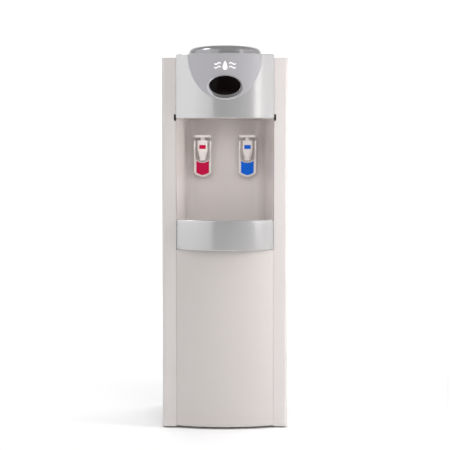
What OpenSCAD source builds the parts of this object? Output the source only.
// Floor-standing bottled-water dispenser with a hot tap and a cold tap.
// Millimetres. +Z is up, the front faces -Y, and the origin is the middle of the footprint on the floor.

/* [Cabinet] */
// Overall width across the side panels
cab_w = 310; // [290:1:330]
// Overall depth from the display to the condenser wires
depth = 354; // [346:1:376]
// Height of the top deck above the floor
cab_h = 916; // [906:1:940]
// Width of the strip at each side of the front
strip_w = 34.5; // [30:0.5:38]
// Thickness of the folded steel panels
sheet = 1.5; // [1:0.1:2]
// Height of the feet below the base pan
foot_h = 4; // [4:1:8]

/* [Front covers] */
// How far the head and the drip tray bow forwards
bow = 46; // [36:1:50]
// How far the lower front panel bows forwards
lower_bow = 20; // [12:1:26]
// Wall thickness of the plastic covers
wall = 2.5; // [2:0.1:3]
// Height of the head's lower edge
head_z = 768; // [758:1:776]
// Height of the head's upper edge
head_top = 924; // [920:1:930]
// Height of the drip tray's lower edge
tray_z = 446; // [438:1:450]
// Height of the drip tray's lip
tray_top = 519; // [512:1:524]

/* [Display] */
// Width of the shield inlay at its top
shield_w = 182; // [160:1:190]
// Height of the shield inlay
shield_h = 113; // [104:1:120]
// Width of the display bezel
bezel_w = 87; // [84:1:96]
// Height of the display bezel
bezel_h = 58; // [54:1:62]
// Width of the display lens
lens_w = 75; // [70:1:81]
// Height of the display lens
lens_h = 46; // [40:1:47]

/* [Alcove] */
// Depth of the alcove behind the front strips
alcove_d = 117; // [108:1:117]
// Radius of the alcove's upright rear corners
alcove_r = 32; // [26:1:34]
// Angle at which the alcove's side walls open forwards
alcove_flare = 12.2; // [10:0.1:12.2]

/* [Taps] */
// Distance between the two taps
tap_pitch = 113; // [104:1:114]
// Width of a tap
tap_w = 44; // [42:1:46]
// Height of the taps' upper face
tap_top = 729; // [724:1:732]
// Swing of a paddle when a cup pushes it
paddle_swing = 12; // [8:1:12]

/* [Bottle seat] */
// Outer radius of the bottle collar
collar_r = 93; // [90:0.5:94]
// Height of the bottle collar above the deck
collar_h = 31; // [28:1:34]
// Radius of the bore that takes the bottle's neck
neck_r = 29.5; // [28.5:0.1:30]
// Length of the bore that takes the bottle's neck
neck_l = 45; // [40:1:48]

/* [Hidden] */

// Small allowances shared by several parts
eps = 1;
gap = 0.5;
snug = 0.05;

// Colours
pearl = [0.78, 0.75, 0.73];
silver = [0.74, 0.74, 0.75];
slate = [0.62, 0.61, 0.64];
chrome = [0.85, 0.85, 0.87];
steel = [0.7, 0.71, 0.72];
black = [0.06, 0.06, 0.07];
ivory = [0.93, 0.91, 0.89];
hot_red = [0.76, 0.03, 0.26];
cold_blue = [0, 0.35, 0.78];
copper = [0.72, 0.43, 0.28];
foam = [0.9, 0.9, 0.88];
rubber = [0.12, 0.12, 0.12];
silicone = [0.85, 0.84, 0.8];
board_green = [0.05, 0.3, 0.15];

// Main planes
proud = 4;
rear_gap = 24;
half_w = cab_w / 2;
front_y = bow + proud - depth / 2;
back_y = depth / 2 - rear_gap;
strip_x = half_w - strip_w;
panel_x = strip_x - eps;
deck_t = 3;
panel_top = cab_h - deck_t;
edge_r = 8;
return_d = 28;
rear_flange = 16;
rear_t = 1.2;

// Head and display
head_d = 60;
head_back = front_y + head_d;
facet_dir = 40;
facet_top = 171.4;
facet_drop = 5.4;
facet_rise = 20;
facet_reach = 260;
inlay_in = 0.8;
inlay_out = 0.6;
emblem_out = 1.4;
bezel_out = 3;
bezel_z = head_top - 82.5;
lens_z = bezel_z + 4.5;
emblem_z = head_top - 30;
window_w = 66;
window_h = 32;
board_y = front_y - bow + 14;
board_t = 1.6;
boss_x = 38;
boss_z = 10;
clip_w = 5;
clip_h = 16;
clip_z = head_z - 6;
clip_d = 9;
clip_gap = 0.3;

// Alcove and drip tray
alcove_y = front_y + alcove_d;
corner_x = 68;
corner_y = alcove_y - alcove_r;
tray_gap = 1;
tray_floor_z = tray_z + wall + 0.3;
tray_floor = 3;
tray_rear = tray_top - 10;
grille_z = tray_top - 16;
grille_t = 2.5;
slot_w = 4;
slot_pitch = 7;

// Bottle seat
well_y = 34;
collar_inner = 50;
deck_hole = 58;
well_flange_r = 62;
neck_top = head_top - 12;
spout_r = 10;
spout_end = head_top - 102;

// Tanks, compressor and rear parts
tank_y = 75;
cold_r = 58;
cold_z = 650;
cold_h = 182;
jacket_r = 73;
jacket_wall = 9;
jacket_z = 638;
jacket_h = 184;
coil_tube = 2.5;
coil_turns = 7;
coil_pitch = 17;
cold_shelf_z = 636;
cold_barbs = [[25, 60], [0, 78]];
hot_r = 50;
hot_z = 440;
hot_h = 150;
hot_shelf_z = 425;
shelf_t = 2;
barb_r = 4;
barb_l = 15;
comp_r = 62;
comp_y = 65;
comp_z = 30;
comp_h = 155;
comp_plate_z = 26;
wire_r = 0.8;
cond_r = 2.4;
cond_y = depth / 2 - 2 * wire_r - cond_r - snug;
cond_x = 100;
cond_z = 250;
cond_pitch = 45;
cond_runs = 13;
bend_r = cond_pitch / 2;
wire_count = 20;
wire_pitch = 10;
drain_x = 60;
drain_z = 215;
drain_r = 7;
cap_gap = 0.6;
switch_z = 845;
switch_x = [-100, -60];
rocker_rest = 8;
gland_x = -110;
gland_z = 90;
screw_x = half_w - 8;
screw_r = 1.6;
screw_hole = 1.9;
screw_levels = [40, 210, 380, 550, 720, 890];
foot_x = 120;
foot_ys = [-75, 125];

// Taps, measured from a tap's own centre
tap_x = tap_pitch / 2;
tap_z = tap_top - 26;
nozzle_y = alcove_y - 36;
nozzle_z = tap_top - 65;
nozzle_r = 8;
shank_r = 8;
shank_hole = 8.3;
hinge_y = alcove_y - 44;
hinge_z = tap_top - 20;
pin_r = 1.55;
pin_hole = 1.61;
bore_r = 5.5;
bung_r = 5.42;
lift_z = tap_top - 31;
lift_r = 1.5;
lift_per_radian = 9;
lift_travel = lift_per_radian * paddle_swing * PI / 180;
slot_half = 1.7;
column_half = 13.5;
arm_x = 17.5;
hose_y = alcove_y + 18;

// --- Shared shapes ---------------------------------------------------------------------------

// Box between two corners
module span(lo, hi) {
    translate(lo) cube(hi - lo);
}

// Both hands of a part that has one at each side
module both_sides() {
    children();
    mirror([1, 0, 0]) children();
}

// Radius of a front that bows forwards by sag across the front panels' width
function bow_radius(sag) = (panel_x * panel_x + sag * sag) / (2 * sag);

// Solid behind a bowed front, from z0 to z1 and back to y1, with the bow grown by grow
module bow_solid(sag, x, y1, z0, z1, grow = 0) {
    r = bow_radius(sag);
    intersection() {
        translate([0, front_y - sag + r, z0])
            cylinder(r = r + grow, h = z1 - z0, $fn = 180);
        span([-x, front_y - sag - grow - eps, z0 - eps], [x, y1, z1 + eps]);
    }
}

// Band that follows the head's bow, from inside to outside of its surface
module bow_band(inside, outside, z0, z1) {
    r = bow_radius(bow);
    translate([0, front_y - bow + r, z0]) difference() {
        cylinder(r = r + outside, h = z1 - z0, $fn = 180);
        translate([0, 0, -eps]) cylinder(r = r - inside, h = z1 - z0 + 2 * eps, $fn = 180);
    }
}

// Outline of an ellipse, or of the lower half of one
function ellipse(a, b, steps = 48) =
    [for (i = [0 : steps - 1]) [a * cos(i * 360 / steps), b * sin(i * 360 / steps)]];
function lower_half(a, b, steps = 32) =
    [for (i = [0 : steps]) [-a * cos(i * 180 / steps), -b * sin(i * 180 / steps)]];

// Outline of the shield inlay, below the head's top edge and up to rise above it
function shield_outline(rise) = concat(
    [[-shield_w / 2, rise]],
    lower_half(shield_w / 2, shield_h),
    [[shield_w / 2, rise]]
);

// Prism that runs through the head's front, from an outline in X and Z centred at height z
module front_prism(outline, z) {
    translate([0, front_y + eps, z]) rotate([90, 0, 0])
        linear_extrude(bow + 3 * proud) polygon(outline);
}

// Plan of the alcove's inside, grown by grow, from the front plane to the back wall
function alcove_plan(grow) =
    let (
        r = alcove_r + grow,
        tan_x = corner_x + r * cos(alcove_flare),
        tan_y = corner_y + r * sin(alcove_flare),
        mouth_x = tan_x + (tan_y - front_y) * tan(alcove_flare),
        steps = 10,
        sweep = 90 - alcove_flare,
        right = concat(
            [[mouth_x, front_y]],
            [for (i = [0 : steps]) let (a = alcove_flare + sweep * i / steps)
                [corner_x + r * cos(a), corner_y + r * sin(a)]]
        ),
        count = len(right)
    )
    concat(right, [for (i = [count - 1 : -1 : 0]) [-right[i][0], right[i][1]]]);

module alcove_block(grow, z0, z1) {
    translate([0, 0, z0]) linear_extrude(z1 - z0) polygon(alcove_plan(grow));
}

// Smooth route through hand-placed points, and a round tube swept along it
function route_point(p, i, t) =
    let (
        a = p[max(i - 1, 0)], b = p[i], c = p[i + 1], d = p[min(i + 2, len(p) - 1)]
    )
    0.5 * (2 * b + (c - a) * t + (2 * a - 5 * b + 4 * c - d) * t * t
        + (3 * b - a - 3 * c + d) * t * t * t);
function route(p, steps) = concat(
    [for (i = [0 : len(p) - 2], k = [0 : steps - 1]) route_point(p, i, k / steps)],
    [p[len(p) - 1]]
);
function unit(v) = v / norm(v);
function heading(q, i) = unit(q[min(i + 1, len(q) - 1)] - q[max(i - 1, 0)]);
function side_of(t) = unit(cross(t, abs(t[0]) > 0.9 ? [0, 1, 0] : [1, 0, 0]));
function carried(q, i, s) = let (t = heading(q, i)) unit(s - (s * t) * t);
function frames(q, i = 0, s = undef) =
    i >= len(q) ? [] :
    let (now = i == 0 ? side_of(heading(q, 0)) : carried(q, i, s))
    concat([now], frames(q, i + 1, now));

module swept_tube(p, r, sides = 8, steps = 4) {
    q = route(p, steps);
    across = frames(q);
    rings = len(q);
    points = [for (i = [0 : rings - 1], k = [0 : sides - 1])
        let (u = across[i], v = cross(heading(q, i), u), a = 360 * k / sides)
        q[i] + r * (cos(a) * u + sin(a) * v)];
    skin = [for (i = [0 : rings - 2], k = [0 : sides - 1])
        [i * sides + k, (i + 1) * sides + k,
         (i + 1) * sides + (k + 1) % sides, i * sides + (k + 1) % sides]];
    start = [for (k = [0 : sides - 1]) k];
    end = [for (k = [sides - 1 : -1 : 0]) (rings - 1) * sides + k];
    polyhedron(points, concat(skin, [start, end]));
}

// --- Cabinet ---------------------------------------------------------------------------------

module base_pan() {
    x = half_w - sheet - gap;
    rim = 24;
    lo_y = front_y + return_d + gap;
    hi_y = back_y - sheet - gap;
    color(steel) difference() {
        span([-x, lo_y, foot_h], [x, hi_y, foot_h + rim]);
        span([-x + sheet, lo_y + sheet, foot_h + sheet],
             [x - sheet, hi_y - sheet, foot_h + rim + eps]);
        for (x_foot = [-foot_x, foot_x], y_foot = foot_ys)
            translate([x_foot, y_foot, foot_h - eps]) cylinder(r = 3.1, h = 2 * rim, $fn = 24);
    }
}

module feet() {
    stud_h = 12;
    for (x_foot = [-foot_x, foot_x], y_foot = foot_ys)
        color(rubber) translate([x_foot, y_foot, 0]) {
            cylinder(r = 15, h = foot_h, $fn = 48);
            cylinder(r = 3, h = foot_h + stud_h, $fn = 24);
        }
}

// Right-hand side panel, folded round the front strip and the rear flange
module side_panel() {
    height = panel_top - foot_h;
    color(pearl) difference() {
        union() {
            span([half_w - sheet, front_y + edge_r, foot_h], [half_w, back_y, panel_top]);
            span([strip_x, front_y, foot_h], [half_w - edge_r, front_y + sheet, panel_top]);
            span([strip_x, front_y, foot_h], [strip_x + sheet, front_y + return_d, panel_top]);
            span([half_w - rear_flange, back_y - sheet, foot_h], [half_w, back_y, panel_top]);
            translate([half_w - edge_r, front_y + edge_r, foot_h])
                rotate([0, 0, -90]) rotate_extrude(angle = 90, $fn = 64)
                    translate([edge_r - sheet, 0]) square([sheet, height]);
        }
        span([strip_x - eps, front_y - eps, clip_z],
             [strip_x + clip_w, front_y + clip_d, clip_z + clip_h]);
        for (z = screw_levels)
            translate([screw_x, back_y + eps, z]) rotate([90, 0, 0])
                cylinder(r = screw_hole, h = 2 * sheet + eps, $fn = 24);
    }
}

module left_side_panel() {
    mirror([1, 0, 0]) side_panel();
}

module right_side_panel() {
    side_panel();
}

module rear_panel() {
    margin = 4;
    vent_l = 70;
    vent_h = 4;
    vent_pitch = 12;
    vent_x = 45;
    vents = 9;
    color(steel) difference() {
        span([-half_w + margin, back_y, foot_h + margin],
             [half_w - margin, back_y + rear_t, panel_top - margin]);
        both_sides() for (z = screw_levels)
            translate([screw_x, back_y - eps, z]) rotate([-90, 0, 0])
                cylinder(r = screw_hole, h = rear_t + 2 * eps, $fn = 24);
        both_sides() for (i = [0 : vents - 1])
            translate([vent_x - vent_l / 2, back_y - eps, 60 + i * vent_pitch])
                cube([vent_l, rear_t + 2 * eps, vent_h]);
        for (x = switch_x)
            translate([x - 7, back_y - eps, switch_z - 12]) cube([14, rear_t + 2 * eps, 24]);
        translate([drain_x, back_y - eps, drain_z]) rotate([-90, 0, 0])
            cylinder(r = drain_r + 0.3, h = rear_t + 2 * eps, $fn = 48);
        translate([gland_x, back_y - eps, gland_z]) rotate([-90, 0, 0])
            cylinder(r = 8, h = rear_t + 2 * eps, $fn = 48);
    }
}

module panel_screws() {
    head_r = 3.5;
    head_h = 1.6;
    shank = 6;
    both_sides() for (z = screw_levels)
        color(chrome) translate([screw_x, back_y + rear_t, z]) rotate([-90, 0, 0]) {
            cylinder(r = head_r, h = head_h, $fn = 32);
            translate([0, 0, -shank]) cylinder(r = screw_r, h = shank + eps / 2, $fn = 24);
        }
}

module top_deck() {
    x = half_w - edge_r;
    rise_back = back_y - 10;
    head_cut = panel_x + gap;
    color(silver) difference() {
        union() {
            span([-half_w, front_y + edge_r, panel_top], [half_w, back_y + rear_t, cab_h]);
            span([-x, front_y, panel_top], [x, front_y + edge_r + eps, cab_h]);
            both_sides() translate([x, front_y + edge_r, panel_top])
                cylinder(r = edge_r, h = deck_t, $fn = 48);
            span([-panel_x, head_back, panel_top], [panel_x, rise_back, head_top]);
        }
        span([-head_cut, front_y - eps, panel_top - eps], [head_cut, head_back + gap, head_top + eps]);
        span([-panel_x + wall, head_back + gap + wall, panel_top - eps],
             [panel_x - wall, rise_back - wall, head_top - wall]);
        translate([0, well_y, head_top - 2 * wall]) cylinder(r = deck_hole, h = 3 * wall, $fn = 96);
    }
}

module tank_shelf(z, y0, rim) {
    x = half_w - sheet - gap;
    difference() {
        union() {
            span([-x, y0, z], [x, back_y - sheet - gap, z + shelf_t]);
            both_sides() span([x - shelf_t, y0, z], [x, back_y - sheet - gap, z + rim]);
        }
        children();
    }
}

module cold_tank_shelf() {
    color(steel) tank_shelf(cold_shelf_z, 18, 20) {
        for (p = cold_barbs)
            translate([p[0], p[1], cold_shelf_z - eps])
                cylinder(r = barb_r + 4, h = shelf_t + 2 * eps, $fn = 32);
    }
}

module hot_tank_shelf() {
    color(steel) tank_shelf(hot_shelf_z, -5, 20) {
        translate([0, 78, hot_shelf_z - eps])
            cylinder(r = barb_r + 4, h = shelf_t + 2 * eps, $fn = 32);
    }
}

module lower_front_panel() {
    z0 = foot_h + 2;
    z1 = tray_z - 1.5;
    back = front_y + 22;
    color(pearl) difference() {
        bow_solid(lower_bow, panel_x, back, z0, z1);
        bow_solid(lower_bow, panel_x - wall, back + eps, z0 + wall, z1 - wall, -wall);
    }
}

// --- Head and display ------------------------------------------------------------------------

// What the two side facets take off: each is a wide arc seen along the facet, so it widens downwards
module facet_cut(inset) {
    centre_z = head_top + facet_rise;
    height = centre_z - head_z;
    r = (height * height + facet_drop * facet_drop) / (2 * facet_drop);
    u = facet_top - inset;
    both_sides() rotate([0, 0, -facet_dir]) difference() {
        span([u - 2 * facet_drop, -facet_reach, head_z - 2 * eps],
             [facet_reach, facet_reach, head_top + 2 * eps]);
        translate([u - r, facet_reach + eps, centre_z]) rotate([90, 0, 0])
            cylinder(r = r, h = 2 * facet_reach + 2 * eps, $fn = 1440);
    }
}

module head_shell() {
    color(silver) difference() {
        bow_solid(bow, panel_x, head_back, head_z, head_top);
        facet_cut(0);
        difference() {
            bow_solid(bow, panel_x - wall, head_back + eps, head_z + wall, head_top - wall, -wall);
            facet_cut(wall);
            for (x = [-boss_x, boss_x], z = [lens_z - boss_z, lens_z + boss_z])
                translate([x, board_y, z]) rotate([90, 0, 0]) cylinder(r = 3, h = 20, $fn = 32);
        }
        span([-half_w, front_y, head_z - eps], [half_w, head_back + eps, head_z + wall + gap]);
        intersection() {
            front_prism(shield_outline(2 * eps), head_top);
            bow_band(inlay_in, proud, head_z, head_top + eps);
        }
        front_prism(ellipse(window_w / 2, window_h / 2), lens_z);
    }
}

module shield_inlay() {
    color(slate) difference() {
        intersection() {
            front_prism(shield_outline(2 * eps), head_top);
            bow_band(inlay_in, inlay_out, head_z, head_top);
        }
        front_prism(ellipse(bezel_w / 2, bezel_h / 2), bezel_z);
    }
}

module display_bezel() {
    color(chrome) difference() {
        intersection() {
            front_prism(ellipse(bezel_w / 2, bezel_h / 2), bezel_z);
            bow_band(inlay_in, bezel_out, bezel_z - bezel_h, bezel_z + bezel_h);
        }
        front_prism(ellipse(lens_w / 2, lens_h / 2), lens_z);
    }
}

module display_lens() {
    color(black) intersection() {
        front_prism(ellipse(lens_w / 2, lens_h / 2), lens_z);
        bow_band(inlay_in, proud, lens_z - lens_h, lens_z + lens_h);
    }
}

// A water drop between two waves
module emblem() {
    drop_r = 6;
    tip = 10;
    drop = concat(
        [[0, drop_r + tip]],
        [for (i = [0 : 14]) let (a = 30 - i * 240 / 14) [drop_r * cos(a), drop_r * sin(a)]]
    );
    wave_l = 17;
    wave_t = 1.6;
    wave_h = 2;
    wave_x = 9.5;
    wave_z = 4.5;
    steps = 12;
    crest = [for (i = [0 : steps]) [wave_l * i / steps, wave_h * sin(360 * i / steps)]];
    wave = concat(
        [for (p = crest) p + [0, wave_t]],
        [for (i = [steps : -1 : 0]) crest[i] - [0, wave_t]]
    );
    color(chrome) intersection() {
        union() {
            front_prism(drop, emblem_z - tip / 2);
            for (z = [emblem_z - wave_z, emblem_z + wave_z])
                both_sides() translate([wave_x, 0, 0]) front_prism(wave, z);
        }
        bow_band(-inlay_out, emblem_out, emblem_z - 20, emblem_z + 20);
    }
}

module indicator_board() {
    x = boss_x + 4;
    z = boss_z + 4;
    color(board_green) span([-x, board_y, lens_z - z], [x, board_y + board_t, lens_z + z]);
}

module indicator_lamps() {
    lamp_r = 2.5;
    lamp_h = 6;
    for (x = [-20, 0, 20])
        color(hot_red) translate([x, board_y, lens_z]) rotate([90, 0, 0]) {
            cylinder(r = lamp_r, h = lamp_h, $fn = 32);
            translate([0, 0, lamp_h]) sphere(r = lamp_r, $fn = 32);
        }
}

module corner_clips() {
    color(black) both_sides()
        span([strip_x + clip_gap, front_y + clip_gap, clip_z + clip_gap],
             [strip_x + clip_w - clip_gap, front_y + clip_d - clip_gap, clip_z + clip_h - clip_gap]);
}

// --- Alcove and drip tray --------------------------------------------------------------------

// Three mouldings: a shelf under the tray, a wall bent round the sides and back, and a ceiling
module alcove_liner() {
    seam = 0.1;
    color(pearl) difference() {
        union() {
            alcove_block(wall, tray_z, tray_z + wall);
            alcove_block(wall, tray_z + wall + seam, head_z - seam);
            alcove_block(wall, head_z, head_z + wall);
        }
        alcove_block(0, tray_z + wall + seam / 2, head_z - seam / 2);
        for (x = [-tap_x, tap_x])
            translate([x, alcove_y - eps, tap_z]) rotate([-90, 0, 0])
                cylinder(r = shank_hole, h = wall + 2 * eps, $fn = 48);
        both_sides() span([strip_x - 0.3, front_y - eps, tray_z - eps],
                          [half_w, alcove_y, head_z + wall + eps]);
        span([-half_w, front_y - eps, tray_z - eps], [half_w, front_y + 0.3, head_z + wall + eps]);
    }
}

module drip_tray() {
    inset = tray_gap + wall;
    color(silver) difference() {
        union() {
            bow_solid(bow, panel_x, front_y, tray_z, tray_top);
            alcove_block(-tray_gap, tray_floor_z, tray_rear);
        }
        bow_solid(bow, panel_x - wall, front_y + eps, tray_floor_z + tray_floor, tray_top + eps, -wall);
        alcove_block(-inset, tray_floor_z + tray_floor, tray_top + eps);
    }
    color(silver) both_sides() for (y = [front_y + 8, alcove_y - 34])
        span([86, y, tray_floor_z + tray_floor], [92, y + 10, grille_z]);
}

module drip_grille() {
    inset = tray_gap + wall + gap;
    slots = 25;
    slot_y0 = front_y - 14;
    slot_y1 = alcove_y - 20;
    color(steel) difference() {
        union() {
            bow_solid(bow, panel_x - wall - gap, front_y + 2, grille_z, grille_z + grille_t, -wall - gap);
            alcove_block(-inset, grille_z, grille_z + grille_t);
        }
        both_sides() span([alcove_plan(-inset)[0][0], front_y - 1, grille_z - eps],
                          [half_w, front_y + 3, grille_z + grille_t + eps]);
        for (i = [0 : slots - 1])
            translate([(i - (slots - 1) / 2) * slot_pitch - slot_w / 2, slot_y0, grille_z - eps])
                cube([slot_w, slot_y1 - slot_y0, grille_t + 2 * eps]);
    }
}

// --- Bottle seat -----------------------------------------------------------------------------

module bottle_collar() {
    top_r = 56;
    rim_z = 14;
    skin = 3;
    steps = 10;
    power = 0.8;
    outer = [for (i = [0 : steps]) let (a = 90 * i / steps)
        [top_r + (collar_r - top_r) * pow(cos(a), power), rim_z + (collar_h - rim_z) * pow(sin(a), power)]];
    inner = [for (i = [steps : -1 : 0]) let (a = 90 * i / steps)
        [top_r + (collar_r - top_r - skin) * pow(cos(a), power),
         rim_z + (collar_h - skin - rim_z) * pow(sin(a), power)]];
    profile = concat(
        [[collar_r - skin, 0], [collar_r, 0]],
        outer,
        [[collar_inner + 1.5, collar_h - 2], [collar_inner, collar_h - 6], [collar_inner, 4],
         [collar_inner + skin, 4], [collar_inner + skin, collar_h - skin - 3]],
        inner
    );
    color(silver) translate([0, well_y, head_top]) rotate_extrude($fn = 120) polygon(profile);
}

module bottle_well() {
    rim_r = collar_inner - gap;
    neck_low = neck_top - neck_l;
    profile = [
        [rim_r - 2.5, head_top + 24], [45, head_top + 14], [33, neck_top + 6], [neck_r, neck_top],
        [neck_r, neck_low], [spout_r, neck_low - 4], [spout_r, spout_end],
        [spout_r + wall, spout_end], [spout_r + wall, neck_low - 7], [neck_r + 3, neck_low - 3],
        [neck_r + 3, neck_top - 1], [40, head_top], [well_flange_r, head_top],
        [well_flange_r, head_top + 2.5], [46, head_top + 2.5], [rim_r, head_top + 10],
        [rim_r, head_top + 24]
    ];
    color(ivory) translate([0, well_y, 0]) rotate_extrude($fn = 96) polygon(profile);
}

// --- Tanks and cooling -----------------------------------------------------------------------

// Closed vessel with a wall of thickness t, holding its content space
module vessel(r, z, h, t) {
    translate([0, tank_y, z]) difference() {
        cylinder(r = r, h = h, $fn = 96);
        translate([0, 0, t]) cylinder(r = r - t, h = h - 2 * t, $fn = 96);
    }
}

module barb(x, y, z0, z1) {
    translate([x, y, z0]) cylinder(r = barb_r, h = z1 - z0, $fn = 32);
}

module cold_tank() {
    color(steel) difference() {
        union() {
            vessel(cold_r, cold_z, cold_h, 1.5);
            for (p = cold_barbs) barb(p[0], p[1], cold_z - barb_l - 7, cold_z + 1);
        }
        translate([0, well_y, cold_z + cold_h - 4])
            cylinder(r = spout_r + wall + 0.3, h = 8, $fn = 64);
    }
}

module cold_tank_jacket() {
    color(foam) translate([0, tank_y, jacket_z]) difference() {
        cylinder(r = jacket_r, h = jacket_h, $fn = 96);
        translate([0, 0, cold_z - jacket_z])
            cylinder(r = jacket_r - jacket_wall, h = jacket_h, $fn = 96);
        for (p = cold_barbs)
            translate([p[0], p[1] - tank_y, -eps]) cylinder(r = barb_r + 1, h = 20, $fn = 32);
    }
}

module evaporator_coil() {
    r = cold_r + coil_tube + 0.9;
    steps = 22;
    turn = [for (i = [0 : coil_turns * steps]) let (a = 360 * i / steps)
        [r * cos(a), tank_y + r * sin(a), cold_z + 22 + coil_pitch * i / steps]];
    color(copper) swept_tube(turn, coil_tube, sides = 6, steps = 1);
}

module cold_thermostat() {
    z = cold_shelf_z + shelf_t;
    color(black) span([half_w - 36, 60, z], [half_w - 8, 84, z + 40]);
}

module hot_tank() {
    color(steel) union() {
        vessel(hot_r, hot_z, hot_h, 1.5);
        barb(-25, 60, hot_z + hot_h - 1, hot_z + hot_h + barb_l);
        barb(0, 78, hot_z + hot_h - 1, hot_z + hot_h + barb_l);
        barb(0, 78, hot_z - 20, hot_z + 1);
        for (a = [45 : 90 : 315])
            translate([(hot_r - 8) * cos(a), tank_y + (hot_r - 8) * sin(a), hot_shelf_z + shelf_t])
                cylinder(r = 4, h = hot_z - hot_shelf_z - shelf_t + 1, $fn = 24);
    }
}

module heater_band() {
    color(chrome) translate([0, tank_y, hot_z + 30]) difference() {
        cylinder(r = hot_r + 3, h = 40, $fn = 96);
        translate([0, 0, -eps]) cylinder(r = hot_r + 0.1, h = 40 + 2 * eps, $fn = 96);
    }
}

module hot_thermostat() {
    y = tank_y - hot_r;
    color(black) translate([0, y - 0.5, hot_z + 100]) rotate([90, 0, 0]) {
        cylinder(r = 9, h = 6, $fn = 48);
        translate([0, 0, 6]) cylinder(r = 6, h = 5, $fn = 48);
    }
}

module compressor() {
    steps = 6;
    dome = 26;
    low = 12;
    profile = concat(
        [[0, 0], [comp_r - low, 0], [comp_r, low], [comp_r, comp_h / 2 - 3],
         [comp_r + 4, comp_h / 2 - 3], [comp_r + 4, comp_h / 2 + 3], [comp_r, comp_h / 2 + 3]],
        [for (i = [0 : steps]) let (a = 90 * i / steps)
            [comp_r - dome + dome * cos(a), comp_h - dome + dome * sin(a)]],
        [[0, comp_h]]
    );
    color(black) union() {
        translate([0, comp_y, comp_z]) rotate_extrude($fn = 96) polygon(profile);
        difference() {
            span([-88, comp_y - 62, comp_plate_z], [88, comp_y + 62, comp_z + eps]);
            for (x = [-77, 77], y = [comp_y - 48, comp_y + 48])
                translate([x, y, comp_plate_z - eps]) cylinder(r = 5, h = 10, $fn = 32);
        }
    }
}

module compressor_grommets() {
    for (x = [-77, 77], y = [comp_y - 48, comp_y + 48])
        color(rubber) translate([x, y, foot_h + sheet]) {
            cylinder(r = 9, h = comp_plate_z - foot_h - sheet, $fn = 32);
            cylinder(r = 4.7, h = comp_z - foot_h + 3, $fn = 32);
        }
}

module filter_drier() {
    color(copper) translate([118, 118, 210]) {
        cylinder(r = 10, h = 90, $fn = 48);
        translate([0, 0, -12]) cylinder(r = 3, h = 114, $fn = 24);
    }
}

module refrigerant_pipes() {
    top = comp_z + comp_h;
    discharge = [[30, 66, top + 1], [34, 68, top + 30], [70, 95, top + 20], [118, 118, 175],
                 [118, 118, 197]];
    suction = [[-30, 66, top + 1], [-34, 70, top + 40], [-90, 110, top + 90], [-110, 110, 400],
               [-110, 112, 405]];
    color(copper) {
        swept_tube(discharge, 3, steps = 5);
        swept_tube(suction, 3, steps = 5);
    }
}

module condenser_tube() {
    color(black) for (i = [0 : cond_runs - 1]) {
        z = cond_z + i * cond_pitch;
        side = i % 2 == 0 ? 1 : -1;
        translate([-cond_x, cond_y, z]) rotate([0, 90, 0])
            cylinder(r = cond_r, h = 2 * cond_x, $fn = 32);
        if (i < cond_runs - 1)
            translate([side * cond_x, cond_y, z + bend_r]) rotate([90, side * 90, 0])
                rotate_extrude(angle = 180, $fn = 48)
                    translate([bend_r, 0]) circle(r = cond_r, $fn = 32);
    }
}

module condenser_wires() {
    length = (cond_runs - 1) * cond_pitch + 24;
    offset_y = cond_r + wire_r + snug;
    for (i = [0 : wire_count - 1], side = [-1, 1])
        color(black) translate([(i - (wire_count - 1) / 2) * wire_pitch, cond_y + side * offset_y,
                                cond_z - 12])
            cylinder(r = wire_r, h = length, $fn = 16);
}

module condenser_brackets() {
    y0 = back_y + rear_t;
    y1 = cond_y - cond_r - 2 * wire_r - 2 * snug;
    for (x = [-cond_x + 2, cond_x - 12], z = [cond_z + 20, cond_z + 11 * cond_pitch + 8])
        color(steel) span([x, y0, z], [x + 10, y1, z + 12]);
}

module hoses() {
    hose_r = 5.5;
    low = cold_z - barb_l - 7 - gap;
    high = hot_z + hot_h + barb_l + gap;
    end = tap_z - 12;
    cold_route = [[25, 60, low], [25, 60, low - 6], [26, 57, low - 14], [32, 46, low - 24], [46, 24, low - 24],
                  [tap_x, hose_y, low - 6], [tap_x, hose_y, end - 25], [tap_x, hose_y, end]];
    hot_route = [[-25, 60, high], [-25, 60, high + 4], [-28, 52, high + 11], [-42, 26, high + 14],
                 [-tap_x, hose_y, high + 32], [-tap_x, hose_y, end - 20], [-tap_x, hose_y, end]];
    drain_route = [[0, 78, hot_z - 20 - gap], [0, 78, hot_z - 60], [14, 92, hot_z - 140],
                   [46, 112, drain_z + 30], [drain_x, 122, drain_z + 4],
                   [drain_x, back_y - 18, drain_z], [drain_x, back_y - 12 - gap, drain_z]];
    color(silicone) {
        swept_tube(cold_route, hose_r, sides = 10);
        swept_tube(hot_route, hose_r, sides = 10);
        swept_tube(drain_route, hose_r, sides = 10);
        translate([0, 78, high]) cylinder(r = hose_r, h = low - high, $fn = 32);
    }
}

// --- Rear fittings ---------------------------------------------------------------------------

module drain_fitting() {
    flange_y = back_y + rear_t;
    color(ivory) translate([drain_x, 0, drain_z]) rotate([-90, 0, 0]) difference() {
        union() {
            translate([0, 0, back_y - 12]) cylinder(r = drain_r, h = 28, $fn = 48);
            translate([0, 0, flange_y]) cylinder(r = 12, h = 2.5, $fn = 48);
        }
        translate([0, 0, back_y - 13]) cylinder(r = barb_r, h = 40, $fn = 32);
    }
}

module drain_cap() {
    start = back_y + rear_t + 2.5 + cap_gap;
    depth_in = 12.5;
    grips = 12;
    color(ivory) translate([drain_x, start, drain_z]) rotate([-90, 0, 0]) difference() {
        cylinder(r = 10, h = 15, $fn = 64);
        translate([0, 0, -eps]) cylinder(r = drain_r + snug, h = depth_in + eps, $fn = 48);
        for (i = [0 : grips - 1]) rotate([0, 0, i * 360 / grips])
            translate([10.6, 0, -eps]) cylinder(r = 1.3, h = 20, $fn = 16);
    }
}

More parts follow.
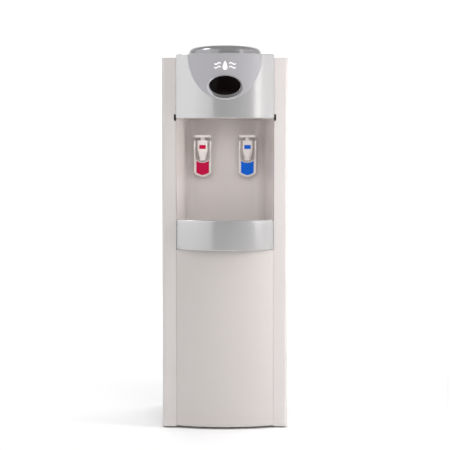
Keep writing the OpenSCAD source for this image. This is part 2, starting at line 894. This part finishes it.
module switch_housings() {
    y0 = back_y - 10;
    y1 = back_y + rear_t;
    for (x = switch_x)
        color(black) translate([x, 0, switch_z]) difference() {
            union() {
                span([-8.5, y1, -14], [8.5, y1 + 2, 14]);
                span([-6.8, y0, -11.8], [6.8, y1 + 0.5, 11.8]);
            }
            span([-5.5, y0 + 1.5, -10.6], [5.5, y1 + 3, 10.6]);
            translate([-6.3, y1 - 2, 0]) rotate([0, 90, 0])
                cylinder(r = 1.5 + snug, h = 12.6, $fn = 24);
        }
}

// Rocker that rests tilted to its off side
module rocker() {
    y1 = back_y + rear_t;
    side = [[-3, -5], [-3, 5], [2.6, 9.6], [4.4, 9.6], [2.4, 0], [4.4, -9.6], [2.6, -9.6]];
    translate([0, y1 - 2, switch_z]) rotate([rocker_rest, 0, 0]) {
        translate([-5, 0, 0]) rotate([90, 0, 90]) linear_extrude(10) polygon(side);
        translate([-6.1, 0, 0]) rotate([0, 90, 0]) cylinder(r = 1.5, h = 12.2, $fn = 24);
    }
}

module hot_switch() {
    color(hot_red) translate([switch_x[0], 0, 0]) rocker();
}

module cold_switch() {
    color(cold_blue) translate([switch_x[1], 0, 0]) rocker();
}

module power_gland() {
    color(rubber) translate([gland_x, back_y - 6, gland_z]) rotate([-90, 0, 0]) difference() {
        union() {
            cylinder(r = 7.8, h = 14, $fn = 48);
            translate([0, 0, 6 + rear_t]) cylinder(r = 11, h = 3, $fn = 48);
        }
        translate([0, 0, -eps]) cylinder(r = 4, h = 20, $fn = 32);
    }
}

// --- Taps ------------------------------------------------------------------------------------

// Rounded plate or block in plan, x half-width, from y0 to y1
module rounded_block(x, y0, y1, r, h) {
    hull() for (cx = [-x + r, x - r], cy = [y0 + r, y1 - r])
        translate([cx, cy, 0]) cylinder(r = r, h = h, $fn = 32);
}

module tap_nuts() {
    y0 = alcove_y + wall;
    for (x = [-tap_x, tap_x])
        color(ivory) translate([x, y0, tap_z]) rotate([-90, 0, 0]) difference() {
            linear_extrude(6) polygon([for (i = [0 : 5]) [13 * cos(60 * i), 13 * sin(60 * i)]]);
            translate([0, 0, -eps]) cylinder(r = shank_r + snug, h = 8, $fn = 48);
        }
}

module tap_gaskets() {
    for (x = [-tap_x, tap_x])
        color(silicone) translate([x, alcove_y - 1.5, tap_z]) rotate([-90, 0, 0]) difference() {
            cylinder(r = 12, h = 1.5, $fn = 48);
            translate([0, 0, -eps]) cylinder(r = shank_r + snug, h = 4, $fn = 48);
        }
}

module tap_spring() {
    turns = 4;
    steps = 12;
    r = 3.6;
    z0 = tap_top - 25.4;
    z1 = tap_top - 15.5;
    coil = [for (i = [0 : turns * steps]) let (a = 360 * i / steps)
        [r * cos(a), nozzle_y + r * sin(a), z0 + (z1 - z0) * i / (turns * steps)]];
    color(chrome) swept_tube(coil, 0.4, sides = 6, steps = 1);
}

module label_plate(grow = 0) {
    front = nozzle_y - 14;
    x = 8 + grow;
    span([-x, front - 0.6, tap_top - 36 - grow], [x, front + 0.6 + grow, tap_top - 26 + grow]);
}

module tap_body() {
    shoulder_z = tap_top - 40;
    column_top = tap_top - 14;
    cap_z = tap_top - 7.5;
    front = nozzle_y - 14;
    rear = nozzle_y + 14;
    color(ivory) difference() {
        union() {
            translate([0, 0, cap_z])
                rounded_block(tap_w / 2, front - 4, rear + 10, 6, tap_top - cap_z);
            span([-6, front + 2, column_top - eps], [6, rear + 6, cap_z + eps]);
            translate([0, 0, shoulder_z]) rounded_block(column_half, front, rear, 6, column_top - shoulder_z);
            hull() {
                translate([0, 0, shoulder_z]) rounded_block(column_half, front, rear, 6, 0.1);
                translate([0, nozzle_y, nozzle_z]) cylinder(r = nozzle_r, h = 1, $fn = 32);
            }
            span([-9, rear - eps, tap_z - 8], [9, alcove_y - 3, tap_z + 10]);
            translate([0, alcove_y - 4, tap_z]) rotate([-90, 0, 0]) cylinder(r = 12.5, h = 2.5, $fn = 48);
            translate([0, alcove_y - 4, tap_z]) rotate([-90, 0, 0]) cylinder(r = shank_r, h = 17, $fn = 48);
            span([-6, alcove_y + 12, tap_z - 6], [6, hose_y + 6, tap_z + 6]);
            translate([0, hose_y, tap_z - 12]) cylinder(r = 4.5, h = 8, $fn = 32);
        }
        translate([0, nozzle_y, nozzle_z + 7]) cylinder(r = bore_r, h = column_top - nozzle_z - 8, $fn = 48);
        translate([0, nozzle_y, nozzle_z - eps]) cylinder(r = 4.5, h = 12, $fn = 48);
        span([-column_half - eps, nozzle_y - slot_half, lift_z - 2],
             [column_half + eps, nozzle_y + slot_half, lift_z + lift_r + lift_travel + 1]);
        translate([-column_half - eps, hinge_y, hinge_z]) rotate([0, 90, 0])
            cylinder(r = pin_hole, h = 2 * column_half + 2 * eps, $fn = 32);
        label_plate(snug);
    }
}

// Side view of a paddle's arm: back and down from the hinge to the plate
arm_side = [[-15, 39], [-15, 48], [-10, 51], [4, 40], [8, 20], [8, -2], [2, -2], [-1, 8], [-13, 29]];

// Front outline of the paddle's plate: hollow top edge and a rounded point below
function plate_outline(x, top, dip, side, low) =
    let (steps = 12)
    concat(
        [for (i = [0 : steps]) let (u = -1 + 2 * i / steps) [x * u, top - dip * (1 - u * u)]],
        [for (i = [0 : steps]) let (u = 1 - 2 * i / steps)
            [x * u, low + (side - low) * pow(abs(u), 1.5)]]
    );

module tap_paddle() {
    plate_y = nozzle_y + 8;
    plate_t = 5;
    low = tap_top - 107;
    color(ivory) difference() {
        union() {
            both_sides() translate([arm_x, nozzle_y + 5, nozzle_z])
                rotate([90, 0, 90]) linear_extrude(tap_w / 2 - arm_x) polygon(arm_side);
            translate([0, plate_y + plate_t, 0]) rotate([90, 0, 0]) linear_extrude(plate_t)
                polygon(plate_outline(tap_w / 2, tap_top - 58, 10, low + 10, low));
        }
        span([-tap_w, nozzle_y - 5, lift_z - 2.3], [tap_w, nozzle_y + 5, lift_z + 3.2]);
        translate([-tap_w, hinge_y, hinge_z]) rotate([0, 90, 0])
            cylinder(r = pin_r, h = 2 * tap_w, $fn = 32);
    }
}

module tap_pad() {
    face_y = nozzle_y + 8;
    low = tap_top - 102;
    translate([0, face_y, 0]) rotate([90, 0, 0]) linear_extrude(1.6)
        polygon(plate_outline(16, tap_top - 66, 5, low + 6, low));
}

module hinge_pin() {
    color(chrome) translate([-tap_w / 2 + 0.5, hinge_y, hinge_z]) rotate([0, 90, 0])
        cylinder(r = pin_r, h = tap_w - 1, $fn = 32);
}

module tap_plunger() {
    stem_top = tap_top - 26;
    color(silicone) translate([0, nozzle_y, 0]) union() {
        translate([0, 0, nozzle_z + 8]) cylinder(r = bung_r, h = 8, $fn = 48);
        translate([0, 0, nozzle_z + 9]) cylinder(r = 2, h = stem_top - nozzle_z - 9, $fn = 32);
        translate([0, 0, stem_top - 1.6]) cylinder(r = 4.4, h = 1.6, $fn = 32);
        translate([-19.5, 0, lift_z]) rotate([0, 90, 0]) cylinder(r = lift_r, h = 39, $fn = 32);
    }
}

module at_hot() {
    translate([-tap_x, 0, 0]) children();
}

module at_cold() {
    translate([tap_x, 0, 0]) children();
}

module hot_spring() {
    at_hot() tap_spring();
}

module cold_spring() {
    at_cold() tap_spring();
}

module hot_tap_body() {
    at_hot() tap_body();
}

module cold_tap_body() {
    at_cold() tap_body();
}

module hot_label() {
    color(hot_red) at_hot() label_plate();
}

module cold_label() {
    color(cold_blue) at_cold() label_plate();
}

module hot_paddle() {
    at_hot() tap_paddle();
}

module cold_paddle() {
    at_cold() tap_paddle();
}

module hot_pad() {
    color(hot_red) at_hot() tap_pad();
}

module cold_pad() {
    color(cold_blue) at_cold() tap_pad();
}

module hot_hinge_pin() {
    at_hot() hinge_pin();
}

module cold_hinge_pin() {
    at_cold() hinge_pin();
}

module hot_plunger() {
    at_hot() tap_plunger();
}

module cold_plunger() {
    at_cold() tap_plunger();
}

// --- Nodes -----------------------------------------------------------------------------------

base_pan();
feet();
left_side_panel();
right_side_panel();
rear_panel();
panel_screws();
top_deck();
cold_tank_shelf();
hot_tank_shelf();
lower_front_panel();
head_shell();
shield_inlay();
emblem();
display_bezel();
display_lens();
indicator_board();
indicator_lamps();
corner_clips();
alcove_liner();
drip_tray();
drip_grille();
bottle_collar();
bottle_well();
cold_tank();
cold_tank_jacket();
evaporator_coil();
cold_thermostat();
hot_tank();
heater_band();
hot_thermostat();
compressor();
compressor_grommets();
filter_drier();
refrigerant_pipes();
condenser_tube();
condenser_wires();
condenser_brackets();
hoses();
drain_fitting();
drain_cap();
switch_housings();
hot_switch();
cold_switch();
power_gland();
tap_nuts();
tap_gaskets();
hot_spring();
cold_spring();
hot_tap_body();
cold_tap_body();
hot_label();
cold_label();
hot_paddle();
cold_paddle();
hot_pad();
cold_pad();
hot_hinge_pin();
cold_hinge_pin();
hot_plunger();
cold_plunger();
